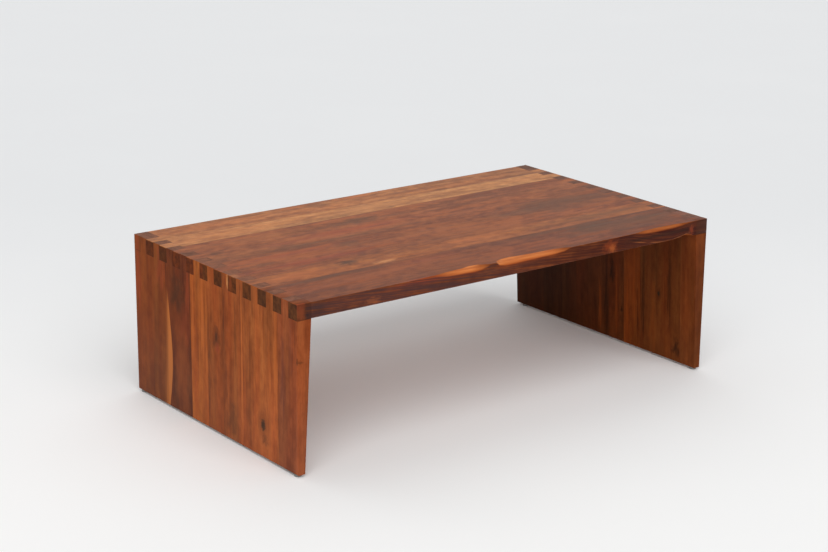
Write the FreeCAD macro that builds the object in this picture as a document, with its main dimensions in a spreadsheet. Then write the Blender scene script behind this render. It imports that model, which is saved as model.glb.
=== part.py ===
"""Waterfall coffee table of edge-glued staves with box-jointed panel legs and levelling feet.

Frame: millimetres, origin on the floor under the middle of the table, +X along the length to the
right, +Y to the back, +Z up. The live edge is at the front.
"""
import FreeCAD, Part
import os

import Sketcher

Vector = FreeCAD.Vector
Rotation = FreeCAD.Rotation

# Driving dimensions
SIZES = {
    # the whole table
    "table_length": 1220,
    "table_width": 690,
    "table_height": 394,
    "top_thickness": 36,
    "leg_joint_thickness": 36,
    "leg_bottom_thickness": 18,
    # the staves of the top, from the back to the front; the one left out takes up the rest of the width
    "top_stave_1_width": 88,
    "top_stave_2_width": 72,
    "top_stave_3_width": 150,
    "top_stave_5_width": 69,
    "top_stave_6_width": 145,
    # the staves of the left leg, in the same way
    "left_stave_1_width": 142,
    "left_stave_2_width": 110,
    "left_stave_3_width": 72,
    "left_stave_4_width": 66,
    "left_stave_5_width": 72,
    "left_stave_7_width": 76,
    # the staves of the right leg, in the same way
    "right_stave_1_width": 114,
    "right_stave_2_width": 74,
    "right_stave_3_width": 58,
    "right_stave_4_width": 129,
    "right_stave_5_width": 56,
    "right_stave_6_width": 61,
    "right_stave_8_width": 53,
    # the box joint, counted from the front edge
    "finger_pitch": 60,
    "top_finger_width": 33,
    # the wane along the upper and lower front edge, at its deepest
    "wane_depth": 20,
    "wane_drop": 11,
    "under_wane_depth": 16,
    "under_wane_rise": 8,
    # the small flat that takes the sharpness off an outer edge
    "arris_easing": 1,
    # the levelling feet
    "foot_inset": 15,
    "back_right_foot_inset": 26,
    "pad_radius": 8.5,
    "pad_shoulder_radius": 7.5,
    "pad_rim_height": 4,
    "pad_height": 6,
    "pad_floor": 1.5,
    "stem_radius": 3,
    "stem_head_radius": 4.5,
    "stem_head_height": 2,
    "stem_reach": 15,
    "stem_tip_taper": 0.8,
    "insert_radius": 5,
    "insert_length": 13,
    "insert_mouth_taper": 0.5,
    "bore_room": 2,
    "running_clearance": 0.05,
    # how far a cutting shape runs past what it cuts
    "overrun": 5,
}

TOP_STAVE_COUNT = 6
LEFT_STAVE_COUNT = 7
RIGHT_STAVE_COUNT = 8
STAVE_COUNTS = {"top": TOP_STAVE_COUNT, "left": LEFT_STAVE_COUNT, "right": RIGHT_STAVE_COUNT}

# The live edge from the left end to the right: place along the table as a share of its length,
# then the upper wane's depth and drop and the lower wane's depth and rise as shares of their deepest.
WANE_SHARES = [
    (0.000, 0.00, 0.00, 0.00, 0.00),
    (0.250, 0.00, 0.00, 0.00, 0.00),
    (0.300, 0.15, 0.35, 0.00, 0.00),
    (0.340, 0.45, 0.80, 0.00, 0.00),
    (0.370, 0.55, 0.90, 0.00, 0.00),
    (0.393, 0.80, 1.00, 0.00, 0.00),
    (0.410, 0.75, 0.90, 0.00, 0.00),
    (0.423, 0.35, 0.50, 0.00, 0.00),
    (0.435, 0.05, 0.05, 0.00, 0.00),
    (0.448, 0.05, 0.05, 0.00, 0.00),
    (0.457, 0.65, 0.75, 0.00, 0.00),
    (0.472, 0.90, 1.00, 0.00, 0.00),
    (0.490, 1.00, 1.00, 0.00, 0.00),
    (0.508, 0.85, 0.90, 0.00, 0.00),
    (0.535, 0.72, 0.90, 0.00, 0.00),
    (0.566, 0.65, 0.80, 0.00, 0.00),
    (0.590, 0.62, 0.80, 0.00, 0.00),
    (0.612, 0.45, 0.65, 0.00, 0.00),
    (0.635, 0.00, 0.00, 0.00, 0.00),
    (0.800, 0.00, 0.00, 0.00, 0.00),
    (0.828, 0.30, 0.65, 0.00, 0.00),
    (0.861, 0.45, 0.80, 0.00, 0.00),
    (0.902, 0.40, 0.80, 0.00, 0.00),
    (0.925, 0.25, 0.55, 0.40, 0.40),
    (0.943, 0.10, 0.25, 1.00, 1.00),
    (0.952, 0.05, 0.10, 0.70, 0.75),
    (0.962, 0.00, 0.00, 0.00, 0.00),
    (1.000, 0.00, 0.00, 0.00, 0.00),
]

doc = FreeCAD.newDocument("coffee_table")
sheet = doc.addObject("Spreadsheet::Sheet", "sizes")
for row, (size_name, size_value) in enumerate(SIZES.items(), start=1):
    sheet.set(f"A{row}", size_name)
    sheet.set(f"B{row}", str(size_value))
    sheet.setAlias(f"B{row}", size_name)
doc.recompute()


# Lengths worked out from the sheet, written as expressions
def size(name):
    """The expression for one driving dimension."""
    return f"sizes.{name}"


def total(terms):
    """The expression for a sum; an empty sum is zero."""
    return "(" + " + ".join(terms) + ")" if terms else "0"


BACK = f"{size('table_width')} / 2"
FRONT = f"-{size('table_width')} / 2"
UNDERSIDE = f"{size('table_height')} - {size('top_thickness')}"
END_X = {"left": f"-{size('table_length')} / 2", "right": f"{size('table_length')} / 2"}
INWARD = {"left": 1, "right": -1}
STEM_TOP = f"{size('pad_height')} + {size('stem_reach')}"


def stave_widths(panel):
    """The expressions for the widths of a panel's staves; the one with no size of its own takes the rest."""
    names = [f"{panel}_stave_{number}_width" for number in range(1, STAVE_COUNTS[panel] + 1)]
    given = [size(name) for name in names if name in SIZES]
    rest = f"({size('table_width')} - {total(given)})"
    return [size(name) if name in SIZES else rest for name in names]


def back_edge(panel, number):
    """The expression for the y of a stave's back edge, from the widths of the staves behind it."""
    return f"{BACK} - {total(stave_widths(panel)[:number - 1])}"


def evaluate(expression):
    """The present value of an expression."""
    return float(sheet.evalExpression(expression))


# Helpers that add one bound object to the document
def place(thing, x, y, z, rotation=Rotation()):
    """Puts an object at a place given as expressions."""
    thing.Placement = FreeCAD.Placement(Vector(), rotation)
    for axis, expression in zip("xyz", (x, y, z)):
        thing.setExpression(f"Placement.Base.{axis}", expression)


def box(name, sides, corner, rotation=Rotation()):
    """A box from the expressions for its three sides and its lowest corner."""
    thing = doc.addObject("Part::Box", name)
    for side_name, expression in zip(("Length", "Width", "Height"), sides):
        thing.setExpression(side_name, expression)
    place(thing, *corner, rotation)
    return thing


def fuse(name, things):
    """Several shapes joined into one."""
    thing = doc.addObject("Part::MultiFuse", name)
    thing.Shapes = things
    thing.Refine = False
    return thing


def cut(name, base, tool):
    """One shape with another taken out of it."""
    thing = doc.addObject("Part::Cut", name)
    thing.Base = base
    thing.Tool = tool
    return thing


def origin_plane(body, role):
    """One of a body's own three planes."""
    return next(feature for feature in body.Origin.OriginFeatures if feature.Role == role)


def polygon_sketch(body, name, plane, points, offset=None):
    """A closed outline on a plane of the body, each corner held at a pair of expressions."""
    sketch = body.newObject("Sketcher::SketchObject", name)
    sketch.AttachmentSupport = [(origin_plane(body, plane), "")]
    sketch.MapMode = "FlatFace"
    if offset is not None:
        sketch.setExpression("AttachmentOffset.Base.z", offset)
    corners = [Vector(evaluate(across), evaluate(along), 0) for across, along in points]
    for start, end in zip(corners, corners[1:] + corners[:1]):
        sketch.addGeometry(Part.LineSegment(start, end), False)
    for index in range(len(points)):
        following = (index + 1) % len(points)
        sketch.addConstraint(Sketcher.Constraint("Coincident", index, 2, following, 1))
    for index, (corner, expressions) in enumerate(zip(corners, points)):
        for kind, value, expression in zip(("DistanceX", "DistanceY"), (corner.x, corner.y), expressions):
            held = sketch.addConstraint(Sketcher.Constraint(kind, -1, 1, index, 1, value))
            sketch.setExpression(f"Constraints[{held}]", expression)
    return sketch


def padded_body(name, points, length):
    """A body whose outline on its XY plane is drawn out along its Z axis."""
    body = doc.addObject("PartDesign::Body", name)
    sketch = polygon_sketch(body, f"{name}_outline", "XY_Plane", points)
    pad = body.newObject("PartDesign::Pad", f"{name}_pad")
    pad.Profile = sketch
    pad.setExpression("Length", length)
    return body


def turned_body(name, points):
    """A body whose outline, radius across and height up, is turned about the Z axis."""
    body = doc.addObject("PartDesign::Body", name)
    sketch = polygon_sketch(body, f"{name}_outline", "XZ_Plane", points)
    turning = body.newObject("PartDesign::Revolution", f"{name}_turning")
    turning.Profile = sketch
    turning.ReferenceAxis = (sketch, ["V_Axis"])
    turning.Angle = 360
    return body


# Cutting shapes for the box joints and the eased edges
def finger_boxes(side):
    """The spaces that the top's fingers fill at one end, from the front edge backwards."""
    behind_the_first = f"{size('table_width')} - {size('top_finger_width')}"
    fitting = evaluate(behind_the_first) // evaluate(size("finger_pitch"))
    reach = f"{size('leg_joint_thickness')} + 3 * {size('overrun')}"
    outer = {
        "left": f"{END_X['left']} - 2 * {size('overrun')}",
        "right": f"{END_X['right']} + 2 * {size('overrun')} - ({reach})",
    }
    boxes = []
    for number in range(int(fitting) + 1):
        sides = (reach, size("top_finger_width"), f"{size('top_thickness')} + 2 * {size('overrun')}")
        corner = (outer[side], f"{FRONT} + {number} * {size('finger_pitch')}", UNDERSIDE)
        boxes.append(box(f"{side}_finger_space_{number + 1}", sides, corner))
    return boxes


def joint_block(side):
    """The part of the top at one end that lies over the leg, from one edge to the other."""
    reach = f"{size('leg_joint_thickness')} + {size('overrun')}"
    outer = {
        "left": f"{END_X['left']} - {size('overrun')}",
        "right": f"{END_X['right']} - {size('leg_joint_thickness')}",
    }
    across = f"{size('table_width')} + 2 * {size('overrun')}"
    sides = (reach, across, f"{size('top_thickness')} + 2 * {size('overrun')}")
    corner = (outer[side], f"{FRONT} - {size('overrun')}", f"{UNDERSIDE} - {size('overrun')}")
    return box(f"{side}_joint_block", sides, corner)


def easing_bar(name, direction, run, edge):
    """A square bar, stood on its corner along an edge, that cuts a small flat there.

    edge holds the expressions for the edge's end with the lowest coordinates.
    """
    side = f"sqrt(2) * {size('arris_easing')}"
    length = f"{run} + 2 * {size('overrun')}"
    lowered = {"x": "z", "y": "x", "z": "y"}[direction]
    sides = [length if axis == direction else side for axis in "xyz"]
    corner = []
    for axis, expression in zip("xyz", edge):
        if axis == direction:
            corner.append(f"{expression} - {size('overrun')}")
        elif axis == lowered:
            corner.append(f"{expression} - {size('arris_easing')}")
        else:
            corner.append(expression)
    turn_axis = {"x": Vector(1, 0, 0), "y": Vector(0, 1, 0), "z": Vector(0, 0, 1)}[direction]
    return box(name, sides, corner, Rotation(turn_axis, 45))


def end_easing(side):
    """Bars for the outer edges at one end: along the top, along the bottom, and up both corners."""
    x = END_X[side]
    height = size("table_height")
    bottom = size("pad_height")
    upright = f"{height} - {bottom}"
    return [
        easing_bar(f"{side}_upper_edge", "y", size("table_width"), (x, FRONT, height)),
        easing_bar(f"{side}_lower_edge", "y", size("table_width"), (x, FRONT, bottom)),
        easing_bar(f"{side}_front_corner", "z", upright, (x, FRONT, bottom)),
        easing_bar(f"{side}_back_corner", "z", upright, (x, BACK, bottom)),
    ]


# The levelling feet stand under the middle of the leg's lower end, near its front and back edges
FOOT_X = {side: f"{END_X[side]} + {INWARD[side]} * {size('leg_bottom_thickness')} / 2" for side in END_X}
FOOT_Y = {
    ("front", "left"): f"{FRONT} + {size('foot_inset')}",
    ("back", "left"): f"{BACK} - {size('foot_inset')}",
    ("front", "right"): f"{FRONT} + {size('foot_inset')}",
    ("back", "right"): f"{BACK} - {size('back_right_foot_inset')}",
}


def foot_bore(end, side):
    """The blind hole in the leg that holds a foot's insert and leaves room for its stem."""
    bore = doc.addObject("Part::Cylinder", f"{end}_{side}_bore")
    bore.setExpression("Radius", size("insert_radius"))
    bore.setExpression("Height", f"{size('stem_reach')} + {size('bore_room')} + {size('overrun')}")
    place(bore, FOOT_X[side], FOOT_Y[end, side], f"{size('pad_height')} - {size('overrun')}")
    return bore


FINGERS = {side: finger_boxes(side) for side in END_X}
EASING = {side: end_easing(side) for side in END_X}
LEG_TOOLS = {}
back_corner = (END_X["left"], BACK, size("table_height"))
top_tools = [easing_bar("back_upper_edge", "x", size("table_length"), back_corner)]
for side in END_X:
    bores = [foot_bore(end, foot_side) for end, foot_side in FOOT_Y if foot_side == side]
    LEG_TOOLS[side] = fuse(f"{side}_leg_cuts", FINGERS[side] + bores + EASING[side])
    top_fingers = fuse(f"{side}_top_fingers", FINGERS[side])
    top_tools.append(cut(f"{side}_top_slots", joint_block(side), top_fingers))
    top_tools += EASING[side]
TOP_TOOL = fuse("top_cuts", top_tools)


# The top
def live_edge_blank(number, width):
    """The front stave: six-cornered sections across the stave, counted from its right end, joined up."""
    body = doc.addObject("PartDesign::Body", f"top_stave_{number}_blank")
    easing = size("arris_easing")
    sections = []
    for station, (place_share, depth, drop, under_depth, rise) in enumerate(WANE_SHARES, start=1):
        upper_edge = f"{width} - {easing} - {depth} * {size('wane_depth')}"
        upper_turn = f"{size('top_thickness')} - {easing} - {drop} * {size('wane_drop')}"
        lower_turn = f"{easing} + {rise} * {size('under_wane_rise')}"
        lower_edge = f"{width} - {easing} - {under_depth} * {size('under_wane_depth')}"
        outline = [
            ("0", "0"),
            (lower_edge, "0"),
            (width, lower_turn),
            (width, upper_turn),
            (upper_edge, size("top_thickness")),
            ("0", size("top_thickness")),
        ]
        offset = f"(1 - {place_share}) * {size('table_length')}"
        sections.append(polygon_sketch(body, f"live_edge_section_{station}", "XY_Plane", outline, offset))
    loft = body.newObject("PartDesign::AdditiveLoft", "live_edge_loft")
    loft.Profile = sections[0]
    loft.Sections = sections[1:]
    loft.Ruled = True
    return body


def top_stave(number):
    """One full-length stave of the top, with its fingers at both ends."""
    width = stave_widths("top")[number - 1]
    back = back_edge("top", number)
    if number == TOP_STAVE_COUNT:
        blank = live_edge_blank(number, width)
        across_to_front = Rotation(Vector(0, -1, 0), Vector(0, 0, 1), Vector(-1, 0, 0), "XYZ")
        place(blank, END_X["right"], back, UNDERSIDE, across_to_front)
    else:
        sides = (size("table_length"), width, size("top_thickness"))
        blank = box(f"top_stave_{number}_blank", sides, (END_X["left"], f"{back} - {width}", UNDERSIDE))
    return cut(f"top_stave_{number}", blank, TOP_TOOL)


# The legs
def leg_stave(side, number):
    """One upright stave of a leg: plumb outside, sloping inside, with its fingers at the upper end."""
    width = stave_widths(side)[number - 1]
    back = back_edge(side, number)
    height = f"{size('table_height')} - {size('pad_height')}"
    outline = [
        ("0", "0"),
        (size("leg_bottom_thickness"), "0"),
        (size("leg_joint_thickness"), f"{UNDERSIDE} - {size('pad_height')}"),
        (size("leg_joint_thickness"), height),
        ("0", height),
    ]
    blank = padded_body(f"{side}_leg_stave_{number}_blank", outline, width)
    if side == "left":
        place(blank, END_X[side], back, size("pad_height"), Rotation(Vector(1, 0, 0), 90))
    else:
        turned = Rotation(Vector(0, 0, 1), 180) * Rotation(Vector(1, 0, 0), 90)
        place(blank, END_X[side], f"{back} - {width}", size("pad_height"), turned)
    return cut(f"{side}_leg_stave_{number}", blank, LEG_TOOLS[side])


# The feet
def foot_pad(name):
    """The round pad on the floor, with a socket that holds the stem's head and lets it turn."""
    socket = f"{size('stem_head_radius')} + {size('running_clearance')}"
    throat = f"{size('stem_radius')} + {size('running_clearance')}"
    ceiling = f"{size('pad_floor')} + {size('stem_head_height')} + 2 * {size('running_clearance')}"
    return turned_body(name, [
        ("0", "0"),
        (size("pad_radius"), "0"),
        (size("pad_radius"), size("pad_rim_height")),
        (size("pad_shoulder_radius"), size("pad_height")),
        (throat, size("pad_height")),
        (throat, ceiling),
        (socket, ceiling),
        (socket, size("pad_floor")),
        ("0", size("pad_floor")),
    ])


def foot_stem(name):
    """The threaded stem, drawn at its outer diameter, with a flat head inside the pad."""
    foot = f"{size('pad_floor')} + {size('running_clearance')}"
    head_top = f"{foot} + {size('stem_head_height')}"
    tip = f"{size('stem_radius')} - {size('stem_tip_taper')}"
    return turned_body(name, [
        ("0", foot),
        (size("stem_head_radius"), foot),
        (size("stem_head_radius"), head_top),
        (size("stem_radius"), head_top),
        (size("stem_radius"), f"{STEM_TOP} - {size('stem_tip_taper')}"),
        (tip, STEM_TOP),
        ("0", STEM_TOP),
    ])


def foot_insert(name):
    """The threaded insert, flush with the underside of the leg and open at both ends."""
    inside = f"{size('stem_radius')} + {size('running_clearance')}"
    top = f"{size('pad_height')} + {size('insert_length')}"
    mouth = f"{inside} + {size('insert_mouth_taper')}"
    return turned_body(name, [
        (mouth, size("pad_height")),
        (size("insert_radius"), size("pad_height")),
        (size("insert_radius"), top),
        (inside, top),
        (inside, f"{size('pad_height')} + {size('insert_mouth_taper')}"),
    ])


subparts = [top_stave(number) for number in range(1, TOP_STAVE_COUNT + 1)]
for side in END_X:
    subparts += [leg_stave(side, number) for number in range(1, STAVE_COUNTS[side] + 1)]
for end, side in FOOT_Y:
    for kind, make in (("pad", foot_pad), ("stem", foot_stem), ("insert", foot_insert)):
        piece = make(f"foot_{kind}_{end}_{side}")
        place(piece, FOOT_X[side], FOOT_Y[end, side], "0")
        subparts.append(piece)
doc.recompute()

# Nothing is written unless every object and every shape is sound
for thing in doc.Objects:
    if "Invalid" in thing.State or "Error" in thing.State:
        raise RuntimeError(f"{thing.Name} did not come out: {thing.State}")
for piece in subparts:
    if piece.Shape.isNull() or not piece.Shape.isValid() or len(piece.Shape.Solids) != 1:
        raise RuntimeError(f"{piece.Label} is not one sound solid")

os.makedirs("parts", exist_ok=True)
for piece in subparts:
    piece.Shape.exportStep(f"parts/{piece.Label}.step")
    bounds = piece.Shape.BoundBox
    print(f"{piece.Label}: {piece.Shape.Volume:.0f} mm3, x {bounds.XMin:.2f} {bounds.XMax:.2f}, "
          f"y {bounds.YMin:.2f} {bounds.YMax:.2f}, z {bounds.ZMin:.2f} {bounds.ZMax:.2f}")
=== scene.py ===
"""Looks of a waterfall coffee table: oiled staves, open box joints, a live front edge and levelling feet.

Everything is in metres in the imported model's frame: +X along the table to the right, +Y to the back, +Z up.
"""
import math

import bpy
import numpy as np
from mathutils import Matrix, Vector


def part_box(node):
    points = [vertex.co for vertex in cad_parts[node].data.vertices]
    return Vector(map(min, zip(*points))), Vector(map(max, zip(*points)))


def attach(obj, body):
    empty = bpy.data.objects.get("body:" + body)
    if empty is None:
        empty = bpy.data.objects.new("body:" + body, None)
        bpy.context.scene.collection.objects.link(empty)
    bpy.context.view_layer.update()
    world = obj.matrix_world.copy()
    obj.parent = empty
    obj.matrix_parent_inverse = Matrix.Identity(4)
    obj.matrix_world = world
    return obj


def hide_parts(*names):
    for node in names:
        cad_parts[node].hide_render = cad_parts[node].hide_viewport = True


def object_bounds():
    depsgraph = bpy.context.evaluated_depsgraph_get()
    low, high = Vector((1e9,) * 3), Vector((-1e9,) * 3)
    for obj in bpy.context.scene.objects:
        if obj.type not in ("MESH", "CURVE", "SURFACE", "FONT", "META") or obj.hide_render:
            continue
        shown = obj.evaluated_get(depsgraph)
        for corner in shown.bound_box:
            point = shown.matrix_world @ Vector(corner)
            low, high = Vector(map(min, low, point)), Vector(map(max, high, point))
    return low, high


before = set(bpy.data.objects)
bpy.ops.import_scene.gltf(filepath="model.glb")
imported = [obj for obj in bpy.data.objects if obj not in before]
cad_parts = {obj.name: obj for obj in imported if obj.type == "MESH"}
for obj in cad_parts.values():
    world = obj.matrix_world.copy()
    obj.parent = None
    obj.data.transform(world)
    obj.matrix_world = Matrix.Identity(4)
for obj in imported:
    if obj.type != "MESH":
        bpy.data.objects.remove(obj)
solid_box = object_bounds()

MM = 0.001
LEFT_END, FRONT, FLOOR = solid_box[0]
RIGHT_END, BACK, TABLE_TOP = solid_box[1]
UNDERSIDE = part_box("top_stave_6")[0].z
JOINT_DEPTH = 36 * MM
FINGER_PITCH = 60 * MM
TOP_FINGER_WIDTH = 33 * MM
ARRIS = 1 * MM


def screen_colour(red, green, blue):
    """A colour given in screen values from 0 to 255, as the linear colour that a shader takes."""
    parts = np.array([red, green, blue]) / 255
    linear = np.where(parts <= 0.04045, parts / 12.92, ((parts + 0.055) / 1.055) ** 2.4)
    return (*(float(part) for part in linear), 1.0)


def shaded(colour, red, green, blue):
    """A linear colour with each part multiplied."""
    return (colour[0] * red, colour[1] * green, colour[2] * blue, 1.0)


# Node helpers
class Wiring:
    """Adds nodes to one node tree, sets their values and joins them up."""

    def __init__(self, tree):
        self.tree = tree

    def feed(self, socket, value):
        """Links an output to a socket, or sets the socket's own value."""
        if isinstance(value, bpy.types.NodeSocket):
            self.tree.links.new(value, socket)
        else:
            socket.default_value = value

    def add(self, kind, values=None, **settings):
        """A node with its settings, and its inputs fed by name or number."""
        node = self.tree.nodes.new(kind)
        for name, setting in settings.items():
            setattr(node, name, setting)
        for name, value in (values or {}).items():
            self.feed(node.inputs[name], value)
        return node

    def use(self, group, **values):
        """The outputs of a node group; an input's name is written with underscores for spaces."""
        node = self.add("ShaderNodeGroup", node_tree=group)
        for name, value in values.items():
            self.feed(node.inputs[name.replace("_", " ").title()], value)
        return node.outputs

    def math(self, operation, *values, clamp=False):
        """A sum on single values."""
        node = self.add("ShaderNodeMath", dict(enumerate(values)), operation=operation, use_clamp=clamp)
        return node.outputs[0]

    def vector(self, operation, *values):
        """A sum on vectors."""
        node = self.add("ShaderNodeVectorMath", dict(enumerate(values)), operation=operation)
        return node.outputs["Value" if operation in ("LENGTH", "DOT_PRODUCT") else "Vector"]

    def noise(self, place, lumps, detail=2.0, roughness=0.5, dimensions="3D", output="Fac"):
        """Soft random values from 0 to 1, with so many lumps per metre on each axis, or on all alike."""
        stretch = lumps if isinstance(lumps, tuple) else (lumps, lumps, lumps)
        scaled = self.vector("MULTIPLY", place, stretch)
        values = {"Vector": scaled, "Scale": 1.0, "Detail": detail, "Roughness": roughness}
        return self.add("ShaderNodeTexNoise", values, noise_dimensions=dimensions).outputs[output]

    def spread(self, value, low, high, to_low=0.0, to_high=1.0, smooth=True):
        """A value spread from one range to another, held at the ends."""
        values = {"Value": value, "From Min": low, "From Max": high, "To Min": to_low, "To Max": to_high}
        kind = "SMOOTHSTEP" if smooth else "LINEAR"
        return self.add("ShaderNodeMapRange", values, interpolation_type=kind, clamp=True).outputs["Result"]

    def blend(self, share, first, second, kind="MIX"):
        """Two colours blended by a share."""
        node = self.add("ShaderNodeMix", {0: share, 6: first, 7: second}, data_type="RGBA", blend_type=kind)
        return node.outputs[2]

    def ramp(self, share, stops):
        """A colour from a row of (place, colour) stops."""
        node = self.add("ShaderNodeValToRGB", {"Fac": share})
        elements = node.color_ramp.elements
        while len(elements) < len(stops):
            elements.new(0.5)
        for element, (place, colour) in zip(elements, stops):
            element.position = place
            element.color = colour
        return node.outputs["Color"]

    def split(self, place):
        """The x, y and z of a vector."""
        return self.add("ShaderNodeSeparateXYZ", {0: place}).outputs

    def join(self, x, y, z):
        """A vector from its x, y and z."""
        return self.add("ShaderNodeCombineXYZ", {0: x, 1: y, 2: z}).outputs[0]

    def product(self, first, *others):
        """Values multiplied together."""
        for other in others:
            first = self.math("MULTIPLY", first, other)
        return first

    def plus(self, base, value, factor):
        """A value with a share of another added."""
        return self.math("MULTIPLY_ADD", value, factor, base)

    def minus(self, first, second):
        """One value less another."""
        return self.math("SUBTRACT", first, second)

    def off_centre(self, value):
        """A value from 0 to 1, moved to lie about zero."""
        return self.minus(value, 0.5)

    def bump(self, height, strength, distance):
        """The normal of a surface that a height from 0 to 1 raises by so much."""
        values = {"Height": height, "Strength": strength, "Distance": distance}
        return self.add("ShaderNodeBump", values).outputs["Normal"]


def shader_group(name, vectors, values, results, vector_results=()):
    """An empty node group of vectors and values in and out, its wiring, and its input and output sockets."""
    tree = bpy.data.node_groups.new(name, "ShaderNodeTree")
    for way, kind, socket_names in (("INPUT", "Vector", vectors), ("INPUT", "Float", values),
                                    ("OUTPUT", "Float", results), ("OUTPUT", "Vector", vector_results)):
        for socket_name in socket_names:
            tree.interface.new_socket(socket_name, in_out=way, socket_type=f"NodeSocket{kind}")
    wiring = Wiring(tree)
    return tree, wiring, wiring.add("NodeGroupInput").outputs, wiring.add("NodeGroupOutput").inputs


def new_material(name):
    """A material with its wiring, its shader's inputs, the surface's place and the way that it faces."""
    material = bpy.data.materials.new(name)
    material.use_nodes = True
    web = Wiring(material.node_tree)
    shader = material.node_tree.nodes["Principled BSDF"]
    coordinates = web.add("ShaderNodeTexCoord").outputs
    return material, web, shader.inputs, coordinates["Object"], coordinates["Normal"]


# Effects that the woods share
PITH_WANDER = (0.0, 10 * MM, 10 * MM)
SEAM_FADE = (0.9 * MM, 0.3 * MM)
SIDE_SEAM_STRENGTH = 0.4


def make_stave_grain():
    """Solid grain for one stave, with x along the grain and the tree's pith on the x axis.

    Rings counted from a wandering pith read a soft noise that also fades along the grain, so they come and
    go as bands and thin dark lines. Stretched noises add blotches, streaks, patches, fibres and pores.
    """
    tree, web, given, result = shader_group(
        "stave_grain", ["Place"], ["Ring Width", "Figure", "Patches"],
        ["Tone", "Lines", "Fibres", "Pores", "Warmth"],
    )
    place = given["Place"]
    drift = web.vector("SUBTRACT", web.noise(place, (1.6, 7.0, 7.0), output="Color"), (0.5, 0.5, 0.5))
    bent = web.vector("ADD", place, web.vector("MULTIPLY", drift, PITH_WANDER))
    radius = web.vector("LENGTH", web.vector("MULTIPLY", bent, (0.0, 1.0, 1.0)))
    rings = web.math("DIVIDE", radius, given["Ring Width"])
    ring_place = web.join(rings, web.split(place)[0], 0.0)
    fibres = web.noise(place, (9.0, 420.0, 420.0), 3.0, 0.65)
    blotches = web.noise(place, (2.4, 11.0, 11.0))
    streaks = web.noise(bent, (5.0, 48.0, 48.0), 3.0, 0.55)
    broad_bands = web.noise(ring_place, (0.18, 1.6, 1.0), 2.0, 0.5, "2D")
    narrow_bands = web.noise(ring_place, (0.8, 3.0, 1.0), 2.0, 0.6, "2D")
    long_patches = web.noise(bent, (17.0, 44.0, 44.0), 3.0, 0.6)
    short_patches = web.noise(bent, (38.0, 70.0, 70.0), 2.0, 0.5)

    def layered(layers):
        """The sum of layers, each (noise, strength), moved to lie about zero."""
        total = 0.0
        for noise, strength in layers:
            total = web.plus(total, web.off_centre(noise), strength)
        return total

    figure = layered([(fibres, 0.55), (blotches, 1.2), (streaks, 1.1), (broad_bands, 0.5),
                      (narrow_bands, 0.45)])
    patches = layered([(long_patches, 0.85), (short_patches, 0.85)])
    figure = web.plus(figure, patches, given["Patches"])
    line_noise = web.noise(ring_place, (0.4, 0.8, 1.0), 1.0, 0.5, "2D")
    saw = web.math("FRACT", web.plus(web.product(rings, 0.2), line_noise, 4.0))
    line = web.product(web.spread(saw, 0.80, 0.97), web.spread(saw, 1.0, 0.98))
    shown = web.spread(web.noise(ring_place, (0.3, 2.4, 1.0), 1.0, 0.5, "2D"), 0.48, 0.68)
    web.feed(result["Tone"], web.math("MULTIPLY_ADD", figure, given["Figure"], 0.5, clamp=True))
    web.feed(result["Lines"], web.product(line, shown))
    web.feed(result["Fibres"], fibres)
    web.feed(result["Warmth"], web.noise(bent, (2.5, 26.0, 26.0)))
    web.feed(result["Pores"], web.spread(web.noise(place, (60.0, 1100.0, 1100.0), 1.0), 0.58, 0.72))
    return tree


def make_knot():
    """A knot: a dark core with a ragged rim, a wider stained halo, and a push that bends the grain round it.

    The distance from the knot's centre, in knot radii and shortened along the grain, fades the core, the
    halo and the push.
    """
    tree, web, given, result = shader_group(
        "knot", ["Place", "Centre", "Shorten"], ["Radius"], ["Core", "Halo"], ["Push"]
    )
    offset = web.vector("MULTIPLY", web.vector("SUBTRACT", given["Place"], given["Centre"]), given["Shorten"])
    distance = web.math("DIVIDE", web.vector("LENGTH", offset), given["Radius"])
    ragged = web.off_centre(web.noise(given["Place"], 220.0))
    rim = web.plus(distance, ragged, 0.9)
    fade = web.math("EXPONENT", web.product(distance, distance, -0.3))
    web.feed(result["Core"], web.spread(rim, 1.1, 0.4))
    web.feed(result["Halo"], web.spread(rim, 3.0, 0.8))
    web.feed(result["Push"], web.vector("MULTIPLY", offset, fade))
    return tree


def make_stain():
    """A soft stretched stain: the distance from its centre, in half sizes and made ragged, fades it out."""
    tree, web, given, result = shader_group("stain", ["Place", "Centre", "Half Size"], [], ["Stain"])
    offset = web.vector("DIVIDE", web.vector("SUBTRACT", given["Place"], given["Centre"]), given["Half Size"])
    ragged = web.off_centre(web.noise(offset, 1.7, 3.0, 0.6))
    rim = web.plus(web.vector("LENGTH", offset), ragged, 2.2)
    web.feed(result["Stain"], web.spread(rim, 1.2, 0.1))
    return tree


def make_sawn_end():
    """Sawn ends: a mask that is 1 on faces that look along the grain, and the mottling of the open pores."""
    tree, web, given, result = shader_group(
        "sawn_end", ["Place", "Facing", "Grain"], [], ["End", "Mottle"]
    )
    along = web.math("ABSOLUTE", web.vector("DOT_PRODUCT", given["Facing"], given["Grain"]))
    coarse = web.noise(given["Place"], 75.0, 3.0, 0.6)
    fine = web.noise(given["Place"], 900.0, 1.0)
    broad = web.noise(given["Place"], 16.0)
    mottle = web.plus(coarse, web.off_centre(fine), 0.4)
    mottle = web.plus(mottle, web.off_centre(broad), 0.5)
    web.feed(result["End"], web.spread(along, 0.75, 0.9))
    web.feed(result["Mottle"], web.spread(mottle, 0.1, 0.9))
    return tree


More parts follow.
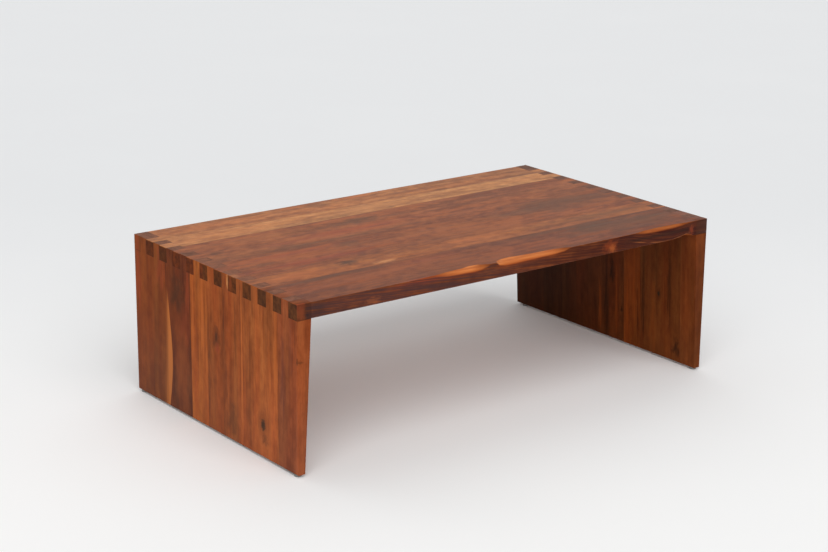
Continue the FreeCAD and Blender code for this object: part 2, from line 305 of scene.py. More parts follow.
def make_glue_line():
    """Hairline seams: near a stave's two sides, and round the fingers inside the two joints.

    The fingers repeat along y from the front edge, so the distance to their sides comes from the fraction of
    a pitch. Their ends show at the joint's depth, over the leg's fingers on the top and under the top's on
    the legs.
    """
    tree, web, given, result = shader_group(
        "glue_line", ["Place"], ["Back Side", "Front Side"], ["Seam"]
    )
    x, y, z = web.split(given["Place"])[:3]
    reach = web.math("ABSOLUTE", x)
    joint_x = RIGHT_END - JOINT_DEPTH

    def near(value, line):
        """A mask of the places close to a line."""
        return web.spread(web.math("ABSOLUTE", web.minus(value, line)), *SEAM_FADE)

    turn = web.math("FRACT", web.math("DIVIDE", web.minus(y, FRONT), FINGER_PITCH))
    way = web.product(turn, FINGER_PITCH)
    finger_sides = web.math("MAXIMUM", near(way, TOP_FINGER_WIDTH), near(way, 0.0))
    leg_finger = web.math("GREATER_THAN", way, TOP_FINGER_WIDTH)
    ends = web.math("MAXIMUM", web.product(near(reach, joint_x), leg_finger),
                    web.product(near(z, UNDERSIDE), web.minus(1.0, leg_finger)))
    in_joint = web.product(web.math("GREATER_THAN", reach, joint_x - MM),
                           web.math("GREATER_THAN", z, UNDERSIDE - MM))
    joint = web.product(in_joint, web.math("MAXIMUM", finger_sides, ends))
    sides = web.math("MAXIMUM", near(y, given["Back Side"]), near(y, given["Front Side"]))
    web.feed(result["Seam"], web.math("MAXIMUM", joint, web.product(sides, SIDE_SEAM_STRENGTH)))
    return tree


# The sapwood leaf's edges: millimetres below the top, then millimetres from the back
SAP_REACH = 200 * MM
SAP_BACK_EDGE = [(0, 154), (86, 150), (135, 142), (220, 138), (320, 134), (394, 131)]
SAP_FRONT_EDGE = [(0, 146), (86, 148), (155, 156), (225, 165), (278, 167), (330, 161), (394, 150)]
SAP_SOFT_EDGE = (-6 * MM, 18 * MM)
SAP_SHARP_EDGE = (-0.4 * MM, 1.2 * MM)
SAP_WOBBLE = 6 * MM
SAP_LEAN = 0.35


def make_sap_leaf():
    """A leaf of pale sapwood on the left leg: a point high up, a sharp bowed front edge and a soft back one.

    Two curves over the height give the leaf's edges, and it leans forwards through the leg's thickness.
    """
    tree, web, given, result = shader_group("sap_leaf", ["Place"], [], ["Leaf"])
    x, y, z = web.split(given["Place"])[:3]
    down = web.math("DIVIDE", web.minus(TABLE_TOP, z), TABLE_TOP)
    inward = web.product(web.minus(x, LEFT_END), SAP_LEAN)
    across = web.minus(web.minus(BACK, y), inward)
    wobble = web.off_centre(web.noise(given["Place"], (60.0, 60.0, 9.0)))
    across = web.plus(across, wobble, SAP_WOBBLE)
    edges = []
    for points in (SAP_BACK_EDGE, SAP_FRONT_EDGE):
        curve = web.add("ShaderNodeFloatCurve", {"Value": down})
        rail = curve.mapping.curves[0].points
        while len(rail) < len(points):
            rail.new(0.5, 0.5)
        for point, (low, side) in zip(rail, points):
            point.location = (low * MM / TABLE_TOP, side * MM / SAP_REACH)
        curve.mapping.update()
        edges.append(web.product(curve.outputs[0], SAP_REACH))
    past_back = web.spread(web.minus(across, edges[0]), *SAP_SOFT_EDGE)
    before_front = web.spread(web.minus(edges[1], across), *SAP_SHARP_EDGE)
    web.feed(result["Leaf"], web.product(past_back, before_front))
    return tree


STAVE_GRAIN = make_stave_grain()
KNOT = make_knot()
STAIN = make_stain()
SAWN_END = make_sawn_end()
GLUE_LINE = make_glue_line()
SAP_LEAF = make_sap_leaf()


# Woods
END_COLOURS = {
    "top": ((48, 18, 7), (108, 48, 18)),
    "left": ((92, 58, 42), (146, 94, 70)),
    "right": ((85, 56, 43), (136, 92, 74)),
}
END_DULLNESS = {"x": 0.35, "z": 0.05}
COOL_TINT = (0.93, 1.05, 1.12, 1.0)
WARM_TINT = (1.08, 0.94, 0.86, 1.0)
TINT_STRENGTH = {"top": 0.5, "left": 1.0, "right": 1.0}
PANEL_FIGURE = {"top": 1.0, "left": 1.0, "right": 0.8}
PANEL_PATCHES = {"top": 1.5, "left": 0.85, "right": 0.85}
COLOURS = {
    name: screen_colour(*parts)
    for name, parts in {
        # The floor sheen colour paints the bright floor's reflection on the left leg
        "knot": (46, 34, 20), "sap": (196, 114, 52), "floor sheen": (104, 108, 106), "seam": (40, 20, 12),
        "shade": (32, 15, 6), "dark": (64, 38, 20), "grey": (96, 58, 34), "purple": (100, 52, 40),
        "rust": (138, 64, 18), "red": (156, 66, 34), "orange": (188, 100, 44), "pale": (206, 138, 82),
        "wane rust": (132, 54, 16), "wane dark": (172, 90, 44), "wane light": (218, 132, 70),
        "left bark": (60, 41, 44), "right bark": (58, 12, 2),
    }.items()
}
GRAIN_TURN = {"x": (0.0, 0.0, 0.0), "z": (0.0, math.pi / 2, 0.0)}
GRAIN_AXIS = {"x": (1.0, 0.0, 0.0), "z": (0.0, 0.0, 1.0)}
KNOT_SHORTEN = {"x": (0.6, 1.0, 0.25), "z": (0.25, 1.0, 0.6)}
WOOD_IOR = {"x": 1.20, "z": 1.12}
DARK_GRAIN = (0.68, 0.62, 0.58)
LIGHT_GRAIN = (1.34, 1.44, 1.50)
RING_LINE = (0.30, 0.24, 0.22)
LINE_STRENGTH = 0.3
PORE_STRENGTH = 0.35
SAP_STRENGTH = 0.8
HALO_STRENGTH = 0.4
SEAM_STRENGTH = 0.55
GRAIN_ON_SAWN_END = 0.06
# How high the painted reflection of the bright floor reaches up the left leg, and its strength at the floor
FLOOR_SHEEN_HEIGHT = 300 * MM
FLOOR_SHEEN_STRENGTH = 0.08
OILED_ROUGHNESS = (0.38, 0.50)
GRAIN_RELIEF = 0.2 * MM
MIDDLE_LEG_THICKNESS = 27 * MM
# The axis that runs into the wood from each face, and the usual depth of its stains in millimetres
STAIN_DEPTH = {"top": (2, 30), "front": (1, 12), "left": (0, 30), "right": (0, 30)}


def on_face(face, first, second):
    """A place on a face, in millimetres along its two directions.

    They are the distances from the left and the back on the top, from the left and the top on the front, and
    from the back and the top on the left leg's outer and the right leg's inner face.
    """
    if face == "top":
        return (LEFT_END + first * MM, BACK - second * MM, TABLE_TOP)
    if face == "front":
        return (LEFT_END + first * MM, FRONT, TABLE_TOP - second * MM)
    x = LEFT_END if face == "left" else RIGHT_END - MIDDLE_LEG_THICKNESS
    return (x, BACK - first * MM, TABLE_TOP - second * MM)


def stained(web, surface, wood, face, stains):
    """Wood with soft stains on one face.

    A stain is its place and two half sizes in millimetres, its colour, its strength and any unusual depth.
    """
    axis, usual_depth = STAIN_DEPTH[face]
    for first, second, half_first, half_second, colour, strength, *depth in stains:
        half = [half_first * MM, half_second * MM]
        half.insert(axis, (depth[0] if depth else usual_depth) * MM)
        stain = web.use(STAIN, place=surface, centre=on_face(face, first, second), half_size=half)["Stain"]
        wood = web.blend(web.product(stain, strength), wood, COLOURS[colour])
    return wood


def stave_wood(node_name, colour, pith, ring_width=3.0, tilt=0.5, figure=1.0, knots=(), stains=(),
               front_stains=(), end_tint=(1.0, 1.0, 1.0), end_stains=(), sap=False, wane=False):
    """Oiled wood for one stave.

    colour is the wood's middle tone in screen values, pith the place of the tree's middle in millimetres
    (along, across, through) in the grain's own frame and tilt how far the grain leans in degrees. A knot is
    its place on the panel's face, radius and strength. stains lie on the same face, front_stains on the live
    edge and end_stains on the sawn left end. end_tint multiplies the colour of both sawn ends. sap adds the
    pale leaf of the left leg, and wane the live edge's colours.
    """
    material, web, shader, surface, facing = new_material(f"wood_{node_name}")
    panel = node_name.split("_")[0]
    grain = "x" if panel == "top" else "z"
    place = surface
    knot_outputs = []
    for first, second, radius, strength in knots:
        outputs = web.use(KNOT, place=place, centre=on_face(panel, first, second),
                          shorten=KNOT_SHORTEN[grain], radius=radius * MM)
        place = web.vector("SUBTRACT", place, outputs["Push"])
        knot_outputs.append((outputs, strength))
    turn = Vector(GRAIN_TURN[grain]) + Vector((0.0, 0.0, math.radians(tilt)))
    offset = [-part * MM for part in pith]
    mapped = web.add("ShaderNodeMapping", {"Vector": place, "Location": offset, "Rotation": turn}).outputs[0]
    figure *= PANEL_FIGURE[panel]
    grain_out = web.use(STAVE_GRAIN, place=mapped, ring_width=ring_width * MM, figure=figure,
                        patches=PANEL_PATCHES[panel])
    middle = screen_colour(*colour)
    dark, light, line = (shaded(middle, *shares) for shares in (DARK_GRAIN, LIGHT_GRAIN, RING_LINE))
    wood = web.ramp(grain_out["Tone"], [(0.12, dark), (0.5, middle), (0.88, light)])
    tint = web.ramp(grain_out["Warmth"], [(0.3, COOL_TINT), (0.7, WARM_TINT)])
    wood = web.blend(TINT_STRENGTH[panel], wood, tint, "MULTIPLY")
    wood = web.blend(web.product(grain_out["Lines"], LINE_STRENGTH), wood, line)
    wood = web.blend(web.product(grain_out["Pores"], PORE_STRENGTH), wood, line)
    wood = stained(web, surface, wood, panel, stains)
    wood = stained(web, surface, wood, "front", front_stains)
    if sap:
        leaf = web.use(SAP_LEAF, place=surface)["Leaf"]
        wood = web.blend(web.product(leaf, SAP_STRENGTH), wood, COLOURS["sap"])
    if wane:
        wood = live_edge_colours(web, surface, facing, wood)
    for outputs, strength in knot_outputs:
        wood = web.blend(web.product(outputs["Halo"], HALO_STRENGTH * strength), wood, line)
        wood = web.blend(web.product(outputs["Core"], strength), wood, COLOURS["knot"])
    end = web.use(SAWN_END, place=surface, facing=facing, grain=GRAIN_AXIS[grain])
    end_dark, end_light = (shaded(screen_colour(*parts), *end_tint) for parts in END_COLOURS[panel])
    sawn = web.ramp(end["Mottle"], [(0.0, end_dark), (1.0, end_light)])
    sawn = web.blend(GRAIN_ON_SAWN_END, sawn, wood)
    wood = web.blend(end["End"], wood, stained(web, surface, sawn, "left", end_stains))
    # Painted reflection: the left leg greys a little towards the floor, standing in for the bright floor's
    # sheen on it
    if panel == "left":
        painted_floor_sheen = web.spread(web.split(surface)[2], FLOOR_SHEEN_HEIGHT, 0.0, 0.0, FLOOR_SHEEN_STRENGTH)
        wood = web.blend(painted_floor_sheen, wood, COLOURS["floor sheen"])
    low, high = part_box(node_name)
    seam = web.use(GLUE_LINE, place=surface, back_side=high.y, front_side=low.y)["Seam"]
    wood = web.blend(web.product(seam, SEAM_STRENGTH), wood, COLOURS["seam"])
    web.feed(shader["Base Color"], wood)
    oiled = web.spread(grain_out["Fibres"], 0.3, 0.7, *OILED_ROUGHNESS, False)
    web.feed(shader["Roughness"], web.plus(oiled, end["End"], END_DULLNESS[grain]))
    height = web.minus(web.minus(grain_out["Fibres"], grain_out["Pores"]), seam)
    web.feed(shader["Normal"], web.bump(height, 0.2, GRAIN_RELIEF))
    shader["IOR"].default_value = WOOD_IOR[grain]
    return material


# Marks along the live edge in millimetres from the left end: its start, full from, full to, and its end
FIRST_LOBE = (360, 445, 475, 530)
SECOND_LOBE = (542, 558, 705, 780)
SECOND_LOBE_HEAD = (555, 575, 600, 640)
THIN_LOBE = (975, 1030, 1090, 1165)
LOWER_LIP = (965, 995, 1150, 1170)
DARK_BAND = (930, 980, 1140, 1175)
# Changes along the live edge: from where to where in millimetres from the left end, and any other two values
LEFT_JOINT = (15, 27)
RIGHT_JOINT = (1183.6, 1184.4, 1.0, 0.75)
BARK_REDDENS = (430, 780)
SHADE_SPREADS = (720, 960, 0.1, 0.65)
LINES_DARKEN = (720, 960, 0.75, 1.0)
BOW_FALLS = (1075, 955, 0.0, 14 * MM)
BOW_RISES = (1095, 1160, 0.0, 8 * MM)
LIP_DIMS = (1045, 1075, 0.35, 0.18)
LINE_SLOPE = 0.08
# Depths below the top where each mark begins and is full
BRIGHT_WANE = (13 * MM, 4 * MM)
THIN_WANE = (10 * MM, 3 * MM)
RUSTY_WANE = (20 * MM, 7 * MM)
WANE_RAGGEDNESS = 6 * MM
# A band's middle below the top, and its half height
DARK_BAND_LEVEL = (17 * MM, 6 * MM)
LIP_HALF_HEIGHT = 2 * MM


def live_edge_colours(web, surface, facing, wood):
    """The live edge: dark bowed grain lines on the front, bright outer wood on the wane, a pale lower lip.

    The wane's brightness fades down from the upper edge to rust below it. The grain lines lean down to the
    right, and at the right they bow down to the lower lip and up again.
    """
    _, backward, upward = web.split(facing)[:3]
    x, y, z = web.split(surface)[:3]
    forward = web.product(backward, -1.0)
    down = web.minus(TABLE_TOP, z)

    def between(start, end, low=0.0, high=1.0):
        """A value that goes from low to high between two places along the edge."""
        return web.spread(x, LEFT_END + start * MM, LEFT_END + end * MM, low, high)

    def along(start, full, still_full, end):
        """A mask that is 1 between two places along the edge."""
        return web.product(between(start, full), between(end, still_full))

    def level_band(middle, half_height):
        """A mask of a soft band whose middle is so far below the top."""
        away = web.math("ABSOLUTE", web.minus(down, middle))
        return web.spread(away, half_height, 0.2 * half_height)

    bow = web.math("ADD", between(*BOW_FALLS), between(*BOW_RISES))
    level = web.minus(web.plus(z, x, LINE_SLOPE), bow)
    lines = web.noise(web.join(x, y, level), (6.0, 90.0, 300.0), 2.0, 0.6)
    bark = web.blend(between(*BARK_REDDENS), COLOURS["left bark"], COLOURS["right bark"])
    flat_front = web.spread(forward, 0.70, 0.95)
    past_joints = web.product(between(*LEFT_JOINT), between(*RIGHT_JOINT))
    shade = web.spread(lines, 0.64, 0.42, between(*SHADE_SPREADS), 1.0)
    lined = web.product(flat_front, past_joints, shade, between(*LINES_DARKEN))
    wood = web.blend(lined, wood, bark)
    dark_band = web.product(level_band(*DARK_BAND_LEVEL), along(*DARK_BAND), flat_front)
    wood = web.blend(web.product(dark_band, 0.5), wood, COLOURS["shade"])
    wood = stained(web, surface, wood, "front", LIVE_EDGE_STAINS)
    streaks = web.noise(surface, (14.0, 160.0, 160.0), 3.0, 0.6)
    outer = web.ramp(streaks, [(0.3, COLOURS["wane dark"]), (0.7, COLOURS["wane light"])])
    fronting = web.spread(forward, 0.10, 0.28)
    lip = level_band(web.minus(TABLE_TOP - UNDERSIDE - ARRIS, bow), LIP_HALF_HEIGHT)
    lip = web.product(lip, web.spread(streaks, 0.35, 0.55), fronting)
    lip_strength = web.product(along(*LOWER_LIP), between(*LIP_DIMS))
    wood = web.blend(web.product(lip, lip_strength), wood, outer)
    ragged_down = web.plus(down, web.off_centre(streaks), WANE_RAGGEDNESS)
    bright = web.spread(ragged_down, *BRIGHT_WANE)
    wane = web.product(fronting, web.spread(upward, 0.25, 0.70))
    thin_lobe = web.product(along(*THIN_LOBE), web.spread(down, *THIN_WANE))
    lobes = web.product(along(*FIRST_LOBE), 0.95)
    for lobe, strength in ((along(*SECOND_LOBE), 0.82), (along(*SECOND_LOBE_HEAD), 0.12), (thin_lobe, 0.36)):
        lobes = web.plus(lobes, lobe, strength)
    rusty = web.product(web.spread(down, *RUSTY_WANE), fronting, lobes)
    wood = web.blend(web.product(rusty, 0.5), wood, COLOURS["wane rust"])
    return web.blend(web.product(wane, lobes), wood, web.blend(bright, COLOURS["wane rust"], outer))


# Each stave's own wood
LIVE_EDGE_STAINS = [
    (898, 21, 27, 20, "wane rust", 0.85), (904, 26, 13, 13, "orange", 0.45), (1167, 21, 9, 14, "red", 0.5),
]
STAVES = {
    "top_stave_1": dict(colour=(165, 100, 53), pith=(0, 390, 250), tilt=0.4,
                        end_tint=(0.85, 0.8, 0.6), stains=[
        (200, 44, 200, 40, "orange", 0.2), (440, 17, 60, 10, "orange", 0.6, 20),
        (630, 17, 70, 11, "orange", 0.7, 20), (510, 42, 40, 14, "grey", 0.4, 20),
        (860, 80, 34, 12, "grey", 0.5), (1140, 60, 70, 40, "grey", 0.35),
    ]),
    "top_stave_2": dict(colour=(180, 117, 66), pith=(300, 150, 300), tilt=-0.3, figure=0.8,
                        end_tint=(0.72, 0.7, 0.4), stains=[
        (600, 124, 170, 30, "pale", 0.45), (500, 152, 26, 8, "grey", 0.5), (650, 150, 18, 8, "grey", 0.5),
        (170, 120, 200, 40, "orange", 0.25),
    ]),
    "top_stave_3": dict(colour=(142, 75, 33), pith=(700, 110, 290), end_tint=(1.2, 1.2, 1.0), stains=[
        (505, 203, 85, 30, "grey", 0.75, 40), (70, 255, 30, 14, "dark", 0.5, 40),
        (420, 268, 240, 30, "red", 0.45, 40), (560, 160, 110, 7, "grey", 0.6, 40),
        (300, 316, 330, 16, "grey", 0.7, 40),
    ]),
    "top_stave_4": dict(colour=(135, 69, 28), pith=(1100, -60, 300), tilt=-0.4, end_tint=(1.1, 1.45, 1.2),
                        end_stains=[(374, 18, 24, 26, "shade", 0.25, 9), (426, 18, 8, 22, "red", 0.3, 9)],
                        stains=[
        (7, 432, 14, 17, "pale", 0.4, 6), (300, 316, 330, 16, "grey", 0.5, 40),
        (365, 362, 42, 22, "grey", 0.7, 40), (110, 392, 40, 14, "grey", 0.5, 40),
        (1010, 360, 230, 75, "grey", 0.7, 40), (220, 370, 220, 60, "orange", 0.15, 40),
        (200, 355, 170, 16, "red", 0.4, 40), (230, 430, 220, 20, "red", 0.5, 40),
    ]),
    "top_stave_5": dict(colour=(150, 81, 34), pith=(200, -300, 260), tilt=0.8,
                        end_tint=(1.05, 1.5, 1.5), stains=[
        (130, 502, 130, 24, "orange", 0.5, 40), (275, 490, 34, 20, "dark", 0.75, 40),
        (350, 531, 38, 10, "pale", 0.8), (640, 498, 120, 18, "orange", 0.35, 40),
        (1010, 512, 230, 30, "grey", 0.5, 40),
    ]),
    "top_stave_6": dict(colour=(122, 59, 22), pith=(900, -260, 300), tilt=-0.6, wane=True,
                        end_tint=(0.95, 1.6, 2.2), end_stains=[(554, 18, 24, 26, "shade", 0.3, 9)], stains=[
        (230, 605, 240, 60, "orange", 0.18), (925, 582, 75, 30, "grey", 0.9),
        (1020, 600, 230, 60, "grey", 0.6), (180, 556, 260, 12, "grey", 0.7),
        (830, 556, 290, 12, "grey", 0.6), (1110, 595, 90, 34, "grey", 0.4),
        (440, 575, 130, 16, "red", 0.25),
    ], front_stains=[
        (200, 20, 240, 18, "purple", 0.5, 8), (9, 17, 14, 30, "red", 0.85), (8, 22, 14, 18, "orange", 0.3),
        (9, 17, 16, 24, "purple", 0.2), (26, 27, 5, 6, "shade", 0.7), (55, 18, 22, 30, "dark", 0.5),
        (200, 28, 24, 12, "orange", 0.7), (335, 7, 100, 9, "red", 0.8),
    ]),
    "left_leg_stave_1": dict(colour=(117, 55, 17), pith=(0, 420, 560), tilt=1.0, sap=True, stains=[
        (14, 90, 14, 110, "red", 0.6), (118, 60, 26, 60, "red", 0.4), (98, 270, 24, 130, "dark", 0.2),
    ]),
    "left_leg_stave_2": dict(colour=(103, 46, 16), pith=(400, 150, 520), tilt=-1.2, sap=True, stains=[
        (192, 105, 38, 50, "dark", 0.65), (240, 80, 10, 70, "red", 0.4), (236, 320, 12, 34, "dark", 0.5),
        (180, 340, 20, 60, "dark", 0.2), (212, 290, 44, 120, "orange", 0.2),
        (225, 170, 30, 60, "red", 0.25),
    ]),
    "left_leg_stave_3": dict(colour=(157, 80, 29), pith=(800, -120, 500), ring_width=2.4, figure=0.9, stains=[
        (262, 160, 6, 110, "orange", 0.5), (304, 130, 7, 120, "orange", 0.6),
        (319, 200, 4, 220, "orange", 0.5),
    ]),
    "left_leg_stave_4": dict(colour=(142, 70, 27), pith=(1200, 60, 560), ring_width=2.6, tilt=-0.8,
                             knots=[(363, 160, 9, 0.3)], stains=[
        (363, 165, 18, 34, "dark", 0.55), (367, 186, 10, 14, "red", 0.6), (334, 205, 9, 34, "dark", 0.45),
        (329, 260, 5, 180, "dark", 0.35), (357, 320, 34, 90, "orange", 0.15),
    ]),
    "left_leg_stave_5": dict(colour=(138, 69, 28), pith=(150, -240, 540), ring_width=2.4, tilt=0.6, stains=[
        (424, 340, 26, 44, "dark", 0.45), (395, 130, 4, 90, "dark", 0.45), (442, 120, 4, 80, "dark", 0.4),
        (413, 14, 4, 24, "pale", 0.85, 6),
    ]),
    "left_leg_stave_6": dict(colour=(155, 79, 34), pith=(550, -60, 500), ring_width=2.8, tilt=-0.5,
                             knots=[(553, 313, 11, 0.85)], stains=[
        (469, 210, 4, 190, "orange", 0.9), (604, 150, 7, 140, "orange", 0.6),
        (560, 348, 14, 16, "dark", 0.5),
    ]),
    "left_leg_stave_7": dict(colour=(141, 69, 34), pith=(950, -420, 560), tilt=0.7, stains=[
        (632, 190, 12, 110, "purple", 0.6), (664, 100, 9, 80, "purple", 0.35),
        (688, 128, 3, 9, "dark", 0.8, 20),
    ]),
    # The right leg's staves are darker than the left leg's and darkest at the back: partly darker heartwood,
    # partly painted shade for the deep shade under the table on their inner face
    "right_leg_stave_1": dict(colour=(64, 30, 11), pith=(300, 400, -520), tilt=0.7),
    "right_leg_stave_2": dict(colour=(60, 28, 10), pith=(700, 60, -560), tilt=-0.6),
    "right_leg_stave_3": dict(colour=(65, 31, 11), pith=(50, 250, -500), tilt=0.4),
    "right_leg_stave_4": dict(colour=(78, 37, 13), pith=(450, -40, -540), tilt=-0.9, stains=[
        (340, 320, 7, 70, "rust", 0.5), (365, 260, 9, 140, "shade", 0.6),
    ]),
    "right_leg_stave_5": dict(colour=(92, 44, 15), pith=(850, 120, -500), stains=[
        (386, 205, 11, 36, "shade", 0.7), (423, 300, 5, 9, "shade", 0.8), (403, 290, 6, 110, "rust", 0.5),
    ]),
    "right_leg_stave_6": dict(colour=(115, 55, 17), pith=(1250, -200, -560), tilt=-0.4, stains=[
        (444, 290, 6, 90, "rust", 0.7), (469, 230, 7, 130, "rust", 0.6), (483, 310, 5, 90, "shade", 0.5),
    ]),
    "right_leg_stave_7": dict(colour=(100, 50, 18), pith=(600, -380, -520), tilt=0.8,
                              knots=[(560, 222, 5, 0.9)], stains=[
        (503, 240, 7, 150, "shade", 0.5), (540, 300, 16, 110, "rust", 0.35),
        (598, 190, 8, 140, "shade", 0.5), (625, 352, 18, 30, "shade", 0.7),
    ]),
    "right_leg_stave_8": dict(colour=(112, 55, 22), pith=(1000, -150, -540), tilt=-0.5),
}


def new_object(name, data):
    """An object of the scene, at the origin."""
    thing = bpy.data.objects.new(name, data)
    bpy.context.scene.collection.objects.link(thing)
    return thing


def dress(thing, material):
    """Gives an object one material in place of any it has."""
    thing.data.materials.clear()
    thing.data.materials.append(material)


WOODS = {node_name: stave_wood(node_name, **settings) for node_name, settings in STAVES.items()}
for node_name, wood in WOODS.items():
    dress(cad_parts[node_name], wood)


# Live edge
def new_piece(name, points, faces, material, smooth_angle):
    """An object from points and faces, smooth but for edges sharper than an angle in degrees."""
    mesh = bpy.data.meshes.new(name)
    mesh.from_pydata(points.tolist(), [], faces)
    mesh.shade_smooth()
    mesh.set_sharp_from_angle(angle=math.radians(smooth_angle))
    piece = new_object(name, mesh)
    dress(piece, material)
    return piece


# The live edge's wane in millimetres: the place from the left end, how far the edge stands back from the
# front there, and how far the wane reaches down from the top, or up from the underside
UPPER_WANE = [
    (0, 0, 0), (305, 0, 0), (366, 3, 4), (415, 9, 9), (451, 11, 10), (480, 16, 11), (500, 15, 10),
    (516, 7, 6), (531, 1, 1), (547, 1, 1), (558, 13, 8), (576, 18, 11), (598, 20, 11), (620, 17, 10),
    (653, 14, 10), (690, 13, 9), (720, 12, 9), (747, 9, 7), (775, 0, 0), (976, 0, 0), (1010, 6, 7),
    (1050, 9, 9), (1100, 8, 9), (1128, 5, 6), (1150, 2, 3), (1161, 1, 1), (1174, 0, 0), (1220, 0, 0),
]
LOWER_WANE = [
    (0, 0, 0), (1100, 0, 0), (1128, 6, 3), (1150, 16, 8), (1161, 11, 6), (1174, 0, 0), (1220, 0, 0),
]
LIVE_EDGE_STATIONS = 460
WANE_STEPS = 9
FRONT_STEPS = 7
TIP_EASING = 0.7
UPPER_PULL = (0.13, 0.45)
LOWER_PULL = (0.15, 0.45)
RIPPLE_LENGTH = 83 * MM
RIPPLE_DEPTH = 0.35 * MM


def eased_between(places, values, at):
    """Values carried from place to place, where the share s of the way becomes 3 s squared less 2 s cubed."""
    start = np.clip(np.searchsorted(places, at, side="right") - 1, 0, len(places) - 2)
    share = (at - places[start]) / (places[start + 1] - places[start])
    return values[start] + (values[start + 1] - values[start]) * share**2 * (3 - 2 * share)


def wane_at(table, x):
    """How far a wane stands back and how far it reaches at each x, both past the easing."""
    places, back, reach = (np.array(table, dtype=float) * MM).T
    return [ARRIS + eased_between(places, values, x - LEFT_END)[:, None] for values in (back, reach)]


def live_edge_sections():
    """The stave's section at each station: arrays of y and z along the bottom, up the front and back.

    Each wane is a quadratic curve from the edge on the flat face to its turn on the front, drawn outwards by
    a control point near the corner. The front between the turns ripples by a sine of a sine along the length.
    """
    x = np.linspace(LEFT_END + JOINT_DEPTH, RIGHT_END - JOINT_DEPTH, LIVE_EDGE_STATIONS)
    recess, drop = wane_at(UPPER_WANE, x)
    under_recess, rise = wane_at(LOWER_WANE, x)
    along = np.linspace(0.0, 1.0, WANE_STEPS)[None, :]
    pull = 2 * along * (1 - along)
    lower_y = FRONT + under_recess * ((1 - along) ** 2 + LOWER_PULL[0] * pull)
    lower_z = UNDERSIDE + rise * (along**2 + LOWER_PULL[1] * pull)
    upper_y = FRONT + recess * (along**2 + UPPER_PULL[0] * pull)
    upper_z = TABLE_TOP - drop * ((1 - along) ** 2 + UPPER_PULL[1] * pull)
    up = np.linspace(0.0, 1.0, FRONT_STEPS + 2)[None, 1:-1]
    front_z = (UNDERSIDE + rise) * (1 - up) + (TABLE_TOP - drop) * up
    length = (x[:, None] - LEFT_END) / RIPPLE_LENGTH
    ripple = 0.5 + 0.5 * np.sin(2 * np.pi * length + 2.2 * np.sin(2 * np.pi * length / 3.7) + 4 * up)
    front_y = FRONT + RIPPLE_DEPTH * ripple * np.sin(np.pi * up)
    flats = np.repeat(np.array(FINGER_SIDES)[None, :], len(x), axis=0)
    y = np.hstack([flats, lower_y, front_y, upper_y, flats[:, ::-1]])
    z = np.hstack([np.full_like(flats, UNDERSIDE), lower_z, front_z, upper_z, np.full_like(flats, TABLE_TOP)])
    return x, y, z


FRONT_STAVE_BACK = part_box("top_stave_6")[1].y
FINGER_SIDES = [FRONT_STAVE_BACK]
for finger in (2, 1, 0):
    for side in (FINGER_PITCH * finger, FINGER_PITCH * (finger - 1) + TOP_FINGER_WIDTH):
        if side > 0:
            FINGER_SIDES.append(FRONT + side)


def crease_wane(mesh, wrapped, around, bounds):
    """Marks the edges that run along the wane's two bounds on the flat faces as sharp."""
    ends = np.empty(len(mesh.edges) * 2, dtype=np.int32)
    mesh.edges.foreach_get("vertices", ends)
    ends = ends.reshape(-1, 2)
    on_bound = np.isin(ends % around, bounds).all(axis=1) & (ends < wrapped).all(axis=1)
    lengthwise = np.abs(ends[:, 0] - ends[:, 1]) == around
    sharp = np.empty(len(mesh.edges), dtype=bool)
    mesh.edges.foreach_get("use_edge_sharp", sharp)
    mesh.edges.foreach_set("use_edge_sharp", sharp | (on_bound & lengthwise))


def make_live_edge_stave():
    """The front stave: its sections joined up, capped between the fingers and drawn out to the fingers' ends.

    A finger's end is its section again, one easing short of the table's end, and once more at the end with
    the upper and front sides brought in by most of the easing.
    """
    x, y, z = live_edge_sections()
    stations, around = y.shape
    points = [np.stack([np.repeat(x[:, None], around, axis=1), y, z], axis=2).reshape(-1, 3)]
    first = np.arange(stations - 1)[:, None] * around
    here, after = np.arange(around)[None, :], (np.arange(around) + 1)[None, :] % around
    quads = np.stack([first + here, first + around + here, first + around + after, first + after], axis=2)
    faces = quads.reshape(-1, 4).tolist()
    flats = len(FINGER_SIDES)
    fingers = [(0, 1), (2, 3), (4, None)]
    gaps = [(1, 2), (3, 4)]

    def strip(back, front):
        """The places round the section of one strip between two finger sides, or out to the front."""
        low = [back, front] if front is not None else list(range(back, around - flats + 1))
        high = [around - 1 - front, around - 1 - back] if front is not None else []
        return np.array(low + high)

    count = stations * around
    for station, end_x, inward in ((0, LEFT_END, 1), (stations - 1, RIGHT_END, -1)):
        base = station * around
        for gap in gaps:
            faces.append((base + strip(*gap))[::inward].tolist())
        for finger in fingers:
            ring = strip(*finger)
            eased_x = np.full(len(ring), end_x + inward * ARRIS)
            reach = np.column_stack([eased_x, y[station, ring], z[station, ring]])
            tip = reach.copy()
            tip[:, 0] = end_x
            eased_y = FRONT + TIP_EASING * ARRIS + (1 - TIP_EASING) * (tip[:, 1] - FRONT)
            eased_z = TABLE_TOP - TIP_EASING * ARRIS - (1 - TIP_EASING) * (TABLE_TOP - tip[:, 2])
            tip[:, 1] = np.maximum(tip[:, 1], eased_y)
            tip[:, 2] = np.minimum(tip[:, 2], eased_z)
            loops = [base + ring, count + np.arange(len(ring)), count + len(ring) + np.arange(len(ring))]
            for inner, outer in zip(loops, loops[1:]):
                side = np.stack([outer, inner, np.roll(inner, -1), np.roll(outer, -1)], axis=1)
                faces += side[:, ::inward].tolist()
            faces.append(loops[2][::inward].tolist())
            points += [reach, tip]
            count += 2 * len(ring)
    stave = new_piece("live_edge_stave", np.vstack(points), faces, WOODS["top_stave_6"], smooth_angle=35)
    crease_wane(stave.data, stations * around, around, (flats, around - flats - 1))
    return stave


live_edge = make_live_edge_stave()
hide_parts("top_stave_6")
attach(live_edge, "table")


